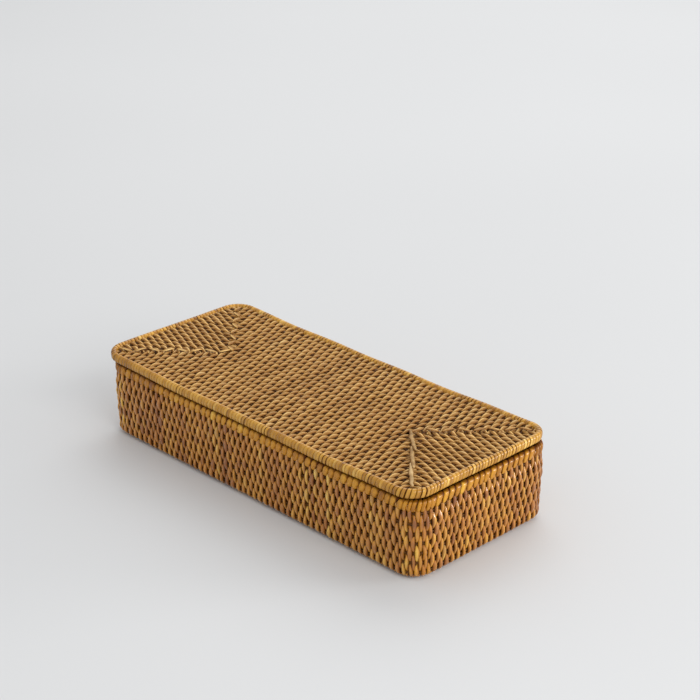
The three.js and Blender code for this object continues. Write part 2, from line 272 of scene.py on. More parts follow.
nodes = [subpart["node"] for subpart in frame["record"]["subparts"]]
wall_cores = [node for node in nodes if node.startswith("wall_core_")]
base_cores = [node for node in nodes if node.startswith("base_core_")]
lid_cores = [node for node in nodes if node.startswith("lid_core_")]
wall_height = np.array([middle_of(core)[2] for core in wall_cores])
wall_reach = np.array([reach_of(core) for core in wall_cores])
base_reach = np.array([reach_of(core) for core in base_cores])
lid_reach = np.array([reach_of(core) for core in lid_cores])
base_height = middle_of("base_spine")[2]
lid_height = middle_of("lid_spine")[2]
rim_height = middle_of("rim_binding")[2]
rim_reach = reach_of("rim_hoop_upper", hoop_radius)


def hand_made(points):
    """Unevenness of hand work, the same for all pieces that meet: rims that sag and edges that waver.

    Its waves, in radians for a metre, have no common length, so that it doesn't repeat.
    """
    x, y, z = points[:, 0], points[:, 1], points[:, 2]
    rise = np.clip(z / rim_height, 0, 1) ** 2
    sag = RIM_DIP * (1 - np.clip(x / lid_half_x, -1, 1) ** 2)
    ripple = np.sin(41 * x + 1.1) * np.cos(17 * y + 0.4) + 0.6 * np.sin(73 * x - 29 * y + 2.0)
    moved = points.copy()
    moved[:, 0] += rise * WAVER * np.sin(52 * y + 0.7)
    moved[:, 1] += rise * WAVER * (np.sin(33 * x + 2.2) + 0.5 * np.sin(71 * x))
    moved[:, 2] += rise * (WAVER * ripple - sag)
    return moved


# Loops and strands
class Loop:
    """A rounded rectangle in plan, run anticlockwise from the lower end of its right side."""

    def __init__(self, half_x, half_y, radius):
        self.radius = radius
        self.straight = (half_x - radius, half_y - radius)
        along_x, along_y = (2 * straight for straight in self.straight)
        arc = math.pi / 2 * radius
        self.stretches = [along_y, arc, along_x, arc] * 2
        self.length = sum(self.stretches)

    def at(self, distance):
        """Points and outward directions at distances around the loop, as (n, 3) arrays."""
        left = np.mod(distance, self.length)
        angle = np.zeros_like(left)
        centre = np.zeros((len(left), 2))
        start = 0.0
        for i, stretch in enumerate(self.stretches):
            here = (left >= start) & (left <= start + stretch)
            share = (left[here] - start) / stretch
            side = i // 2
            before = corner_sign(side - 1) * self.straight
            after = corner_sign(side) * self.straight
            if i % 2 == 0:
                centre[here] = before + share[:, None] * (after - before)
                angle[here] = side * math.pi / 2
            else:
                centre[here] = after
                angle[here] = (side + share) * math.pi / 2
            start += stretch
        outward = np.stack([np.cos(angle), np.sin(angle), np.zeros_like(angle)], axis=1)
        points = np.pad(centre, ((0, 0), (0, 1))) + self.radius * outward
        return points, outward


def corner_sign(corner):
    """Signs of x and y at a corner, counted anticlockwise from the back right."""
    angle = (corner + 0.5) * math.pi / 2
    return np.array([math.copysign(1, math.cos(angle)), math.copysign(1, math.sin(angle))])


def loop_at(reach, least_radius=0.0):
    return Loop(corner_x + reach, corner_y + reach, max(reach, least_radius))


def unit(vectors):
    return vectors / np.linalg.norm(vectors, axis=-1, keepdims=True)


def section_angles(sides):
    """Angles of the points around a strand's section, from one edge over the face."""
    return np.arange(sides) * (2 * math.pi / sides)


def strand_seed(rng):
    """A strand's own place in the noise, so that no two have the same grain."""
    return rng.uniform(0, STRAND_SEEDS)


class Strands:
    """Strips and canes gathered into one mesh, each an oval section swept along its path."""

    def __init__(self):
        self.points, self.faces, self.caps = [], [], []
        self.tones, self.crowns, self.grains = [], [], []
        self.corners = []  # cell, along and around of each face corner, for the texture map
        self.cap_corners = []
        self.point_count = 0
        self.cell_count = 0

    def add(self, path, face, half_width, half_thickness, tone, crown=1.0, roll=0.0,
            closed=False, sides=SECTION_SIDES, cell_steps=None, seed=0.0, pith=1.0, backing=1.0):
        """A strand along a path.

        Face is the way its broad side looks, crown the painted light at each point and roll how far it is
        turned on edge. Pith_and_shade says which edge is dark, and backing how much broader its hidden side
        is.
        """
        steps = len(path)
        if closed:
            tangent = np.roll(path, -1, axis=0) - np.roll(path, 1, axis=0)
        else:
            tangent = np.gradient(path, axis=0)
        tangent = unit(tangent)
        face = unit(face - tangent * np.sum(face * tangent, axis=1, keepdims=True))
        side = np.cross(tangent, face)
        turn = np.broadcast_to(roll, steps)[:, None]
        side, face = side * np.cos(turn) + face * np.sin(turn), face * np.cos(turn) - side * np.sin(turn)
        angle = section_angles(sides)
        spread = np.cos(angle) * np.where(np.sin(angle) < HIDDEN_SIDE, backing, 1.0)
        across = np.broadcast_to(half_width, steps)[:, None] * spread
        above = np.broadcast_to(half_thickness, steps)[:, None] * np.sin(angle)
        section = path[:, None] + side[:, None] * across[..., None] + face[:, None] * above[..., None]
        self.points.append(section.reshape(-1, 3))
        travel = np.concatenate([[0], np.cumsum(np.linalg.norm(np.diff(path, axis=0), axis=1))])
        grain = np.stack(np.broadcast_arrays(travel[:, None], pith * np.cos(angle), seed), axis=2)
        self.grains.append(grain.reshape(-1, 3))
        self.tones.append(np.repeat(np.broadcast_to(tone, steps), sides))
        self.crowns.append(np.broadcast_to(crown, (steps, sides)).ravel())
        self.join(steps, sides, closed, cell_steps or steps)
        self.point_count += steps * sides

    def join(self, steps, sides, closed, cell_steps):
        """Faces between the sections, and each corner's place in the texture map."""
        here = np.arange(steps if closed else steps - 1)
        spot = np.arange(sides)
        quad = [(0, 0), (1, 0), (1, 1), (0, 1)]
        index = [((here[:, None] + i) % steps) * sides + (spot + k) % sides for i, k in quad]
        self.faces.append(self.point_count + np.stack(index, axis=2).reshape(-1, 4))
        cell = self.cell_count + here // cell_steps
        length = cell_steps if closed or cell_steps < steps else steps - 1
        for_corner = []
        for i, k in quad:
            along = (here[:, None] % cell_steps + i) / length
            place = np.broadcast_arrays(cell[:, None], along, (spot + k) / sides)
            for_corner.append(np.stack(place, axis=2))
        self.corners.append(np.stack(for_corner, axis=2).reshape(-1, 3))
        if not closed:
            first = self.point_count + spot
            last = self.point_count + (steps - 1) * sides + spot[::-1]
            self.caps += [first, last]
            self.cap_corners += [(self.cell_count, 0.0, 0.5)] * sides + [(cell[-1], 1.0, 0.5)] * sides
        self.cell_count = cell[-1] + 1

    def piece(self, name, body, slot, finish, replaced, columns=1, offset=None):
        """Makes the mesh object, which rides on a body and stands for the solids that it replaces."""
        points = np.concatenate(self.points)
        if offset is not None:
            points = points + offset
        points = hand_made(points)
        faces = np.concatenate(self.faces)
        mesh = bpy.data.meshes.new(name)
        mesh.from_pydata(points.tolist(), [], faces.tolist() + [cap.tolist() for cap in self.caps])
        mesh.polygons.foreach_set("use_smooth", [True] * len(mesh.polygons))
        self.write_map(mesh, columns)
        self.write_attribute(mesh, "tone", "FLOAT", "value", self.tones)
        self.write_attribute(mesh, "crown", "FLOAT", "value", self.crowns)
        self.write_attribute(mesh, "grain", "FLOAT_VECTOR", "vector", self.grains)
        mesh.materials.append(finish)
        made = bpy.data.objects.new(name, mesh)
        bpy.context.scene.collection.objects.link(made)
        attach(made, body)
        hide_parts(*replaced)

    def write_map(self, mesh, columns):
        """A texture map with one cell for each strip or turn, in rows and columns."""
        corners = np.concatenate(self.corners + ([np.array(self.cap_corners)] if self.caps else []))
        rows = math.ceil(self.cell_count / columns)
        cell = corners[:, 0].astype(int)
        u = (cell % columns + MAP_END + (1 - 2 * MAP_END) * corners[:, 1]) / columns
        v = (cell // columns + MAP_EDGE + (1 - 2 * MAP_EDGE) * corners[:, 2]) / rows
        layer = mesh.uv_layers.new(name="OFBake")
        layer.data.foreach_set("uv", np.stack([u, v], axis=1).ravel())

    @staticmethod
    def write_attribute(mesh, name, kind, field, values):
        layer = mesh.attributes.new(name, kind, "POINT")
        layer.data.foreach_set(field, np.concatenate(values).astype(np.float32).ravel())


# Shader nodes as Python expressions
class Value:
    """A number that varies over a surface: an output socket that arithmetic turns into Math nodes."""

    def __init__(self, finish, socket):
        self.finish = finish
        self.socket = socket

    def maths(self, operation, *values):
        sockets = dict(enumerate(values))
        return self.finish.node("ShaderNodeMath", {"operation": operation}, sockets)

    def __add__(self, other):
        return self.maths("ADD", self, other)

    def __sub__(self, other):
        return self.maths("SUBTRACT", self, other)

    def __rsub__(self, other):
        return self.maths("SUBTRACT", other, self)

    def __mul__(self, other):
        return self.maths("MULTIPLY", self, other)

    def __pow__(self, other):
        return self.maths("POWER", self, other)

    __radd__ = __add__
    __rmul__ = __mul__


class Finish:
    """A node material while it is put together."""

    def __init__(self, name):
        self.material = bpy.data.materials.new(name)
        self.material.use_nodes = True
        self.tree = self.material.node_tree
        self.tree.nodes.clear()

    def node(self, kind, settings=None, sockets=None, output=0):
        """A node of a kind, with its settings, then the values or links of its sockets."""
        made = self.tree.nodes.new(kind)
        for name, value in (settings or {}).items():
            if name == "stops":
                self.set_stops(made.color_ramp, value)
            else:
                setattr(made, name, value)
        for name, value in (sockets or {}).items():
            if isinstance(value, Value):
                self.tree.links.new(value.socket, made.inputs[name])
            else:
                made.inputs[name].default_value = value
        return Value(self, made.outputs[output]) if made.outputs else None

    @staticmethod
    def set_stops(ramp, stops):
        while len(ramp.elements) < len(stops):
            ramp.elements.new(0.5)
        for element, (position, colour) in zip(ramp.elements, stops):
            element.position = position
            element.color = colour

    def attribute(self, name, output="Fac"):
        return self.node("ShaderNodeAttribute", {"attribute_name": name}, output=output)

    def stretch(self, vector, scale):
        return self.node("ShaderNodeVectorMath", {"operation": "MULTIPLY"}, {0: vector, 1: scale})

    def noise(self, vector, scale=1.0, detail=2.0, roughness=0.5):
        sockets = {"Vector": vector, "Scale": scale, "Detail": detail, "Roughness": roughness}
        return self.node("ShaderNodeTexNoise", None, sockets)

    def span(self, value, low, high, to_low=0.0, to_high=1.0):
        """The value's range from low to high, mapped to another and held at its ends."""
        sockets = {"Value": value, "From Min": low, "From Max": high, "To Min": to_low, "To Max": to_high}
        return self.node("ShaderNodeMapRange", {"clamp": True}, sockets)

    def ramp(self, value, stops):
        return self.node("ShaderNodeValToRGB", {"stops": stops}, {"Fac": value})

    def mix(self, share, first, second, blend="MIX"):
        """Two colours mixed: on a Mix node they are sockets 6 and 7, and their mix is output 2."""
        settings = {"data_type": "RGBA", "blend_type": blend}
        return self.node("ShaderNodeMix", settings, {0: share, 6: first, 7: second}, output=2)

    def surface(self, colour, roughness, height, depth, **constants):
        """The shader itself, with a bump of a given depth, and the material output."""
        bump = self.node("ShaderNodeBump", None, {"Height": height, "Distance": depth, "Strength": 1.0})
        sockets = {"Base Color": colour, "Roughness": roughness, "Normal": bump}
        sockets.update({name.replace("_", " "): value for name, value in constants.items()})
        shader = self.node("ShaderNodeBsdfPrincipled", None, sockets)
        self.node("ShaderNodeOutputMaterial", None, {"Surface": shader})
        return self.material


# Colours and finishes
def srgb(red, green, blue):
    """A colour written as screen values from 0 to 255, in linear light."""
    def linear(value):
        value /= 255
        return value / 12.92 if value <= 0.04045 else ((value + 0.055) / 1.055) ** 2.4
    return (linear(red), linear(green), linear(blue), 1.0)


def rattan_finish(name, shades, pith_and_shade_colour, stain_shade, shade_tint, stain, roughness, gloss,
                  pith=0.6, pith_and_shade_from=0.0, pale=0.0):
    """Split rattan: long fibres, many shades, a dark pith edge, stained patches and painted shade at necks
    and edges.
    """
    finish = Finish(name)
    grain = finish.attribute("grain", "Vector")
    tone = finish.attribute("tone")
    crown = finish.attribute("crown")
    place = finish.node("ShaderNodeTexCoord", output="Object")
    fibre = finish.noise(finish.stretch(grain, FIBRE_GRAIN), detail=3.0, roughness=0.65)
    blotch = finish.noise(finish.stretch(grain, BLOTCH_GRAIN), detail=1.0)
    patch = finish.noise(place, PATCH_SCALE)
    worn = finish.noise(finish.stretch(grain, WORN_GRAIN))
    shade = tone * TONE_SHARE + (fibre - 0.5) * FIBRE_SHARE + (blotch - 0.5) * BLOTCH_SHARE
    shade = shade + (patch - 0.5) * PATCH_SHARE + (1 - TONE_SHARE) / 2
    colour = finish.ramp(shade, list(zip(np.linspace(*SHADE_STOPS, len(shades)), shades)))
    stained = finish.span(worn, *WORN_RANGE) * stain
    colour = finish.mix(stained, colour, stain_shade)
    side = finish.node("ShaderNodeSeparateXYZ", None, {0: grain}, output="Y")
    # dark edge: the pith, and on the lid painted shade over most of a strip; pale edge: a painted highlight
    # on the lid
    frayed = side + (fibre - 0.5)
    pith_and_shade_share = finish.span(frayed, pith_and_shade_from, pith_and_shade_from + DARK_EDGE_FADE) * pith
    colour = finish.mix(pith_and_shade_share, colour, pith_and_shade_colour)
    pale_edge_highlight = finish.span(frayed, *PALE_EDGE) * pale
    colour = finish.mix(pale_edge_highlight, colour, shades[-1])
    # painted shade: a low crown value and the strip's edges pull the colour towards the shade tint
    painted_light = finish.span(crown, *LIT_RANGE) * (1 - side ** 4 * EDGE_SHADE)
    colour = finish.mix(1.0, colour, finish.mix(painted_light, shade_tint, WHITE), "MULTIPLY")
    rough = finish.span(fibre, *FIBRE_RANGE, roughness - SMOOTHER, roughness + ROUGHER)
    shine = finish.span(crown, *SHINE_RANGE) * (1 - side ** 4) * gloss
    return finish.surface(colour, rough, fibre, FIBRE_DEPTH, Specular_IOR_Level=SPECULAR_LEVEL,
                          Coat_Weight=shine, Coat_Roughness=COAT_ROUGHNESS, Coat_IOR=COAT_IOR)


WHITE = (1.0, 1.0, 1.0, 1.0)
WALL_SHADES = [srgb(130, 72, 13), srgb(187, 117, 18), srgb(213, 148, 32), srgb(238, 194, 84)]
LID_SHADES = [srgb(144, 94, 34), srgb(200, 146, 66), srgb(228, 177, 92), srgb(252, 218, 148)]
HIP_SHADES = [srgb(96, 68, 36), srgb(148, 112, 64), srgb(182, 146, 92), srgb(212, 180, 128)]
LID_RIM_SHADES = [srgb(114, 68, 18), srgb(180, 126, 38), srgb(211, 158, 60), srgb(244, 206, 116)]
BOX_RIM_SHADES = [srgb(120, 67, 10), srgb(187, 124, 24), srgb(212, 152, 38), srgb(240, 196, 84)]
CANE_SHADES = [srgb(48, 26, 6), srgb(70, 40, 10), srgb(88, 54, 16), srgb(104, 68, 24)]
WALL_PITH = srgb(122, 66, 18)
LID_PITH_AND_SHADE = srgb(142, 96, 44)
STAIN_GREY = srgb(126, 100, 62)
STAIN_BROWN = srgb(132, 77, 34)
# painted shade tints, multiplied in where the crown value is low
WALL_NECK_SHADE = (0.08, 0.035, 0.006, 1.0)
LID_NECK_SHADE = (0.36, 0.20, 0.05, 1.0)
RIM_GROOVE_SHADE = (0.17, 0.085, 0.028, 1.0)
FLOOR_GREY = srgb(209, 210, 211)
FLOOR_PALE = srgb(213, 214, 215)

wall_strip = rattan_finish("wall_strip", WALL_SHADES, WALL_PITH, STAIN_BROWN, WALL_NECK_SHADE,
                           stain=0.50, roughness=0.40, gloss=1.0)
lid_strip = rattan_finish("lid_strip", LID_SHADES, LID_PITH_AND_SHADE, STAIN_GREY, LID_NECK_SHADE,
                          stain=0.45, roughness=0.45, gloss=0.1, pith=0.8, pith_and_shade_from=-0.60, pale=0.7)
lid_rim_peel = rattan_finish("lid_rim_peel", LID_RIM_SHADES, LID_RIM_SHADES[1], STAIN_BROWN, RIM_GROOVE_SHADE,
                             stain=0.45, roughness=0.40, gloss=0.45)
box_rim_peel = rattan_finish("box_rim_peel", BOX_RIM_SHADES, BOX_RIM_SHADES[1], STAIN_BROWN, RIM_GROOVE_SHADE,
                             stain=0.40, roughness=0.40, gloss=0.4)
hip_peel = rattan_finish("hip_peel", HIP_SHADES, LID_PITH_AND_SHADE, STAIN_GREY, LID_NECK_SHADE,
                         stain=0.35, roughness=0.50, gloss=0.05)
core_cane = rattan_finish("core_cane", CANE_SHADES, CANE_SHADES[0], STAIN_BROWN, WALL_NECK_SHADE,
                          stain=0.25, roughness=0.65, gloss=0.05)


# One strip of the weave
def crown_values(rng, index, spread):
    """A random value for each crown of a strip, blended along it."""
    whole = np.arange(math.floor(index.min()) - 1, math.ceil(index.max()) + 2)
    return np.interp(index, whole, rng.normal(0, spread, len(whole)))


def over_and_under(phase):
    """Height of a strip between -1 and 1, in front of even cores and behind odd ones, with long fronts."""
    past = np.abs(np.mod(phase + 1, 2) - 1)
    front = np.cos(math.pi / 2 * np.minimum(past / CROWN_SHARE, 1))
    behind = np.sin(math.pi / 2 * np.maximum(past - CROWN_SHARE, 0) / (1 - CROWN_SHARE))
    return front - behind


def lean_of(phase):
    """Sideways place of a strip between -1 and 1: it leans while in front and swings back behind."""
    past = np.mod(phase + 1, 2) - 1
    return np.interp(past, (-1, -CROWN_SHARE, CROWN_SHARE, 1), (0, -1, 1, 0))


def weave_strip(mesh, rng, middle, outward, sideways, index, parity, lean, pith,
                slim=1.0, fall=0.0, sweep=0.0, tilt=0.0, dull=0.0, uneven=1.0, backing=(1, 1, 1),
                thickness=STRIP_THICKNESS):
    """One strip: over a core, under the next, where index counts the cores that it passes.

    Lean is its sideways swing and pith its dark edge. Slim is a share of its width, fall the share of
    its relief and of its painted neck shade that is lost, sweep its shift to the side, tilt how far its
    crowns lie on edge, dull how much darker it is, and uneven how much more its shades and places differ.
    """
    swing = over_and_under(index + parity)
    leaning = lean_of(index + parity)
    travel = np.arange(len(middle)) / STEPS_PER_CORE
    waver = WANDER * np.sin(travel * WANDER_PACE + rng.uniform(0, 2 * math.pi)) + rng.normal(0, WANDER / 2)
    height = np.where(swing > 0, STRIP_LIFT, STRIP_SINK)
    lift = height * swing * (1 + crown_values(rng, index, LIFT_SPREAD)) * (1 - fall)
    drift = lean * leaning * (1 - fall) + waver + crown_values(rng, index, PLACE_SPREAD * uneven) + sweep
    path = middle + outward * lift[:, None] + sideways * drift[:, None]
    path[:, 2] = np.maximum(path[:, 2], thickness / 2)  # pressed flat where it stands on the ground
    width = np.interp(swing, WIDTH_AT, (BACK_WIDTH, NECK_WIDTH, CROWN_WIDTH))
    width = width * rng.normal(1, STRIP_WIDTH_SPREAD)
    width = width * (1 + crown_values(rng, index, CROWN_WIDTH_SPREAD)) * slim
    roll = -np.sign(lean) * STRIP_ROLL * leaning - pith * tilt * np.maximum(swing, 0)
    odd = ODD_PALENESS * (rng.random() < ODD_STRIPS)
    shade = rng.normal(0, STRIP_SHADE_SPREAD) + crown_values(rng, index, CROWN_SHADE_SPREAD)
    tone = np.clip(0.5 + uneven * shade + odd - dull, 0, 1)
    # painted shade: the crown value is low where the strip dives and on its hidden side over a core
    facing = np.sin(section_angles(SECTION_SIDES))
    depth = 0.5 - 0.5 * np.clip(LIGHT_STEEPNESS * swing[:, None] * facing, -1, 1)
    crown = 1 - depth * (1 - np.broadcast_to(fall, len(middle))[:, None])
    hidden = (facing < HIDDEN_SIDE) & (swing[:, None] > 0)
    crown = np.where(hidden, np.minimum(crown, HIDDEN_LIGHT), crown)
    spread = np.interp(swing, BACKING_AT, backing)[:, None]
    mesh.add(path, outward, width / 2, thickness / 2, tone, crown, roll,
             seed=strand_seed(rng), pith=pith, backing=spread)


# Walls
foot_radius = wall_height[0] - base_height
foot_arc = foot_radius * math.pi / 2
first_base_core = -(foot_arc + wall_reach[0] - foot_radius - base_reach[0])
base_pitch = base_reach[0] - base_reach[1]
core_pitch = wall_height[1] - wall_height[0]
under_base = [first_base_core - base_pitch, first_base_core]
up_wall = wall_height - wall_height[0]
core_distance = np.concatenate([under_base, up_wall, [up_wall[-1] + core_pitch]])
core_index = np.arange(len(core_distance)) - len(under_base)


def wall_profile(distance):
    """Reach, height and bend at distances up the wall from its lowest core, or down round its foot."""
    height = wall_height[0] + distance
    heights = np.append(wall_height, rim_height - core_pitch / 2)
    reach = np.interp(height, heights, np.append(wall_reach, rim_reach))
    bend = np.clip(-distance / foot_radius, 0, math.pi / 2)
    under = np.maximum(-distance - foot_arc, 0)
    reach = reach - foot_radius * (1 - np.cos(bend)) - under
    height = np.where(distance > 0, height, wall_height[0] - foot_radius * np.sin(bend))
    return reach, height, bend


def wall_strip_at(mesh, rng, anchor, outward, index, lean, dark_edge, lowest, spacing, fan=False):
    """A strip from inside the rim down the wall, round its foot and under the base.

    The spacing of a corner's fan of strips is given as an angle.
    """
    top = rim_height - wall_height[0]
    count = math.ceil((top - lowest) / core_pitch * STEPS_PER_CORE)
    distance = np.linspace(top, lowest, count)
    reach, height, bend = wall_profile(distance)
    passed = np.interp(distance, core_distance, core_index)
    fall, dull, uneven = 0.0, 0.0, 1.0
    if fan:
        fall, dull, uneven = CORNER_FLATNESS, CORNER_DULLNESS, CORNER_UNEVENNESS
        spacing = reach * spacing
    slim = np.broadcast_to(np.minimum(spacing * LONG_SIDE_STRIPS / (2 * corner_x), WIDEST_STRIP), count)
    middle = anchor + outward * reach[:, None] + UP * height[:, None]
    face = outward * np.cos(bend)[:, None] - UP * np.sin(bend)[:, None]
    sideways = np.broadcast_to(np.cross(UP, outward), middle.shape)
    weave_strip(mesh, rng, middle, face, sideways, passed, index % 2, -lean, dark_edge, slim, fall,
                dull=dull, uneven=uneven, backing=WALL_BACKING)


LONG_SIDE = (LONG_SIDE_STRIPS, LONG_SIDE_LEAN, -1)  # -1 and 1 say which edge of the strips is dark
SHORT_SIDE = (SHORT_SIDE_STRIPS, SHORT_SIDE_LEAN, 1)
SIDES = [
    ("front", -90, LONG_SIDE),
    ("right", 0, SHORT_SIDE),
    ("back", 90, LONG_SIDE),
    ("left", 180, SHORT_SIDE),
]
CORNERS = ["front_right", "back_right", "back_left", "front_left"]


def direction(degrees):
    angle = math.radians(degrees)
    return np.array([round(math.cos(angle), 9), round(math.sin(angle), 9), 0.0])


def make_walls():
    """The strips of the four sides and of the four corners, counted once around the box."""
    rng = np.random.default_rng(WALL_SEED)
    index = 0
    under = first_base_core - base_pitch / 2
    corner_under = first_base_core - base_pitch / 8
    extent = np.array([corner_x, corner_y, 0.0])
    for (place, degrees, (count, lean, dark_edge)), corner in zip(SIDES, CORNERS):
        outward = direction(degrees)
        sideways = np.cross(UP, outward)
        half = abs(sideways @ extent)
        side = Strands()
        for i in range(count):
            anchor = outward * abs(outward @ extent) + sideways * half * ((2 * i + 1) / count - 1)
            wall_strip_at(side, rng, anchor, outward, index, lean, dark_edge, under, 2 * half / count)
            index += 1
        side.piece(f"{place}_wall_strips", "box", "strip", wall_strip, [f"wall_weave_{place}"])
        bend = Strands()
        centre = outward * abs(outward @ extent) + sideways * half
        for i in range(CORNER_STRIPS):
            turned = direction(degrees + 90 * (i + 0.5) / CORNER_STRIPS)
            apart = math.pi / 2 / CORNER_STRIPS
            wall_strip_at(bend, rng, centre, turned, index, lean / 2, dark_edge, corner_under, apart,
                          fan=True)
            index += 1
        bend.piece(f"{corner}_corner_strips", "box", "strip", wall_strip, [f"corner_weave_{corner}"])


# Base and lid
def end_of_strip(place, corner, reach):
    """How far past the corner centres a strip of a flat panel ends, round the panel's corners too."""
    past = max(abs(place) - corner, 0)
    return math.sqrt(max(reach ** 2 - past ** 2, 0)) if reach > 0 else reach


def flat_weave(panel, body, finish, reach, height, out, edge_reach, seed, offset, lean, first_index,
               tilt=0.0, ridge_dull=0.0, slims=(1.0, 1.0), backing=(1, 1, 1)):
    """The strips of a flat panel, in a middle group and two end groups that meet along the hips."""
    rng = np.random.default_rng(seed)
    pitch = reach[0] - reach[1]
    core_inset = LID_CORNER_RADIUS - reach[0]

    def lay(mesh, across, along, place, start, end, half, corner_way, parity, slim):
        """A strip from start to end, where corner_way is the way that it bends into a hip, or 0."""
        count = max(math.ceil(abs(end - start) / pitch * STEPS_PER_CORE), LEAST_STEPS)
        run = np.linspace(start, end, count)
        middle = along * run[:, None] + across * place + UP * height
        passed = (half - np.abs(run) - core_inset) / pitch
        near = np.clip(1 - np.abs(run - end) / HIP_TURN_IN, 0, 1) * abs(corner_way)
        sideways = np.broadcast_to(across, middle.shape)
        outward = np.broadcast_to(UP * out, middle.shape)
        sweep = corner_way * HIP_SWEEP * near ** 2 * min(abs(end - start) / (2 * HIP_TURN_IN), 1)
        dull = ridge_dull * np.exp(-(middle[:, 1] / RIDGE_STAIN_WIDTH) ** 2)
        weave_strip(mesh, rng, middle, outward, sideways, passed, parity, -np.sign(run) * lean * out,
                    math.copysign(1, end - start), slim * (1 - HIP_SLIMMING * near ** 2),
                    HIP_FLATNESS * near ** 3, sweep, tilt, dull, backing=backing,
                    thickness=FLAT_STRIP_THICKNESS)

    x_axis, y_axis = np.array((1.0, 0, 0)), np.array((0, 1.0, 0))
    middle_mesh, left_mesh, right_mesh = Strands(), Strands(), Strands()
    step = 2 * corner_x / LONG_SIDE_STRIPS
    count = int((corner_x + max(edge_reach, 0)) / step + 0.5)
    for i in range(-count, count + 1):
        x = i * step
        limit = corner_y + end_of_strip(x, corner_x, edge_reach)
        hip = abs(x) - ridge_end
        parity = (i + first_index) % 2
        if hip < 0:
            lay(middle_mesh, x_axis, y_axis, x, -limit, limit, lid_half_y, 0, parity, slims[0])
        elif limit - hip > SHORTEST_STRIP:
            for way in (-1, 1):
                lay(middle_mesh, x_axis, y_axis, x, way * limit, way * hip, lid_half_y,
                    math.copysign(1, x), parity, slims[0])
    step = 2 * corner_y / SHORT_SIDE_STRIPS
    count = int((corner_y + max(edge_reach, 0)) / step + 0.5)
    for mesh, way in ((left_mesh, -1), (right_mesh, 1)):
        for i in range(-count, count + 1):
            y = i * step
            limit = corner_x + end_of_strip(y, corner_y, edge_reach)
            hip = ridge_end + abs(y)
            parity = (i + first_index) % 2
            if limit - hip > SHORTEST_STRIP:
                lay(mesh, y_axis, x_axis, y, way * limit, way * hip, lid_half_x,
                    math.copysign(1, y), parity, slims[1])
    for zone, mesh in (("middle", middle_mesh), ("left", left_mesh), ("right", right_mesh)):
        node = f"{panel}_weave_{zone}"
        mesh.piece(f"{panel}_{zone}_strips", body, "strip", finish, [node], offset=offset)


def make_base():
    start = base_reach[0] - base_pitch / 2
    flat_weave("base", "box", wall_strip, base_reach, base_height, out=-1, edge_reach=start, seed=BASE_SEED,
               offset=None, lean=LONG_SIDE_LEAN, first_index=1)


def make_lid_weave():
    tucked = reach_of("lid_rim_hoop_upper", hoop_radius) - hoop_radius
    flat_weave("lid", "lid", lid_strip, lid_reach, lid_height, out=1, edge_reach=tucked, seed=LID_SEED,
               offset=lid_centre, lean=LID_LEAN, first_index=0, tilt=LID_TILT, ridge_dull=RIDGE_DULLNESS,
               slims=(LID_STRIP_WIDTH, END_STRIP_WIDTH), backing=LID_BACKING)


# Canes
def cane_ring(name, node, body, loop, height, radius, rng, offset=None):
    """A round cane bent into a closed ring."""
    distance = np.linspace(0, loop.length, int(loop.length / CANE_STEP), endpoint=False)
    path, outward = loop.at(distance)
    path = path + UP * height
    mesh = Strands()
    tone = rng.normal(0.5, CANE_SHADE_SPREAD) + CANE_SHADE_WAVE * np.sin(distance * CANE_WAVE_PACE)
    mesh.add(path, outward, radius, radius, tone, closed=True, sides=CANE_SIDES,
             cell_steps=CANE_CELL_STEPS, seed=strand_seed(rng))
    mesh.piece(name, body, "cane", core_cane, [node], offset=offset)


def cane_rod(name, node, body, rng):
    """The straight cane under a ridge."""
    low, high = (np.array(corner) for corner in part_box(node))
    middle = (low + high) / 2
    path = np.repeat(middle[None], ROD_STEPS, axis=0)
    path[:, 0] = np.linspace(low[0], high[0], ROD_STEPS)
    mesh = Strands()
    face = np.broadcast_to(UP, path.shape)
    tone = rng.normal(0.5, ROD_SHADE_SPREAD)
    mesh.add(path, face, core_radius, core_radius, tone, sides=CANE_SIDES, seed=strand_seed(rng))
    mesh.piece(name, body, "cane", core_cane, [node])


def make_cores():
    rng = np.random.default_rng(CANE_SEED)
    for node, reach, height in zip(wall_cores, wall_reach, wall_height):
        cane_ring(f"{node}_cane", node, "box", loop_at(reach), height, core_radius, rng)
    for node, reach in zip(base_cores, base_reach):
        loop = loop_at(reach, LEAST_CANE_BEND)
        cane_ring(f"{node}_cane", node, "box", loop, base_height, core_radius, rng)
    for node, reach in zip(lid_cores, lid_reach):
        loop = loop_at(reach, LEAST_CANE_BEND)
        cane_ring(f"{node}_cane", node, "lid", loop, lid_height, core_radius, rng, lid_centre)
    cane_rod("base_spine_cane", "base_spine", "box", rng)
    cane_rod("lid_spine_cane", "lid_spine", "lid", rng)


# Wound rims
def oval(share, radius, straight):
    """Places and outward directions (across, up) around an upright oval, at shares of its outline."""
    arc = math.pi * radius
    flank = 2 * straight
    around = np.mod(share, 1.0) * (2 * arc + 2 * flank)
    across, up = np.zeros_like(around), np.zeros_like(around)
    turn = np.zeros_like(around)
    for start, side in ((0.0, 1), (flank + arc, -1)):
        left = around - start
        on_flank = (left >= 0) & (left < flank)
        across[on_flank] = side * radius
        up[on_flank] = side * (left[on_flank] - straight)
        turn[on_flank] = 0 if side > 0 else math.pi
        on_crown = (left >= flank) & (left <= flank + arc + 1e-9)
        bend = (left[on_crown] - flank) / radius
        across[on_crown] = side * radius * np.cos(bend)
        up[on_crown] = side * (straight + radius * np.sin(bend))
        turn[on_crown] = bend + (0 if side > 0 else math.pi)
    return across, up, np.cos(turn), np.sin(turn)


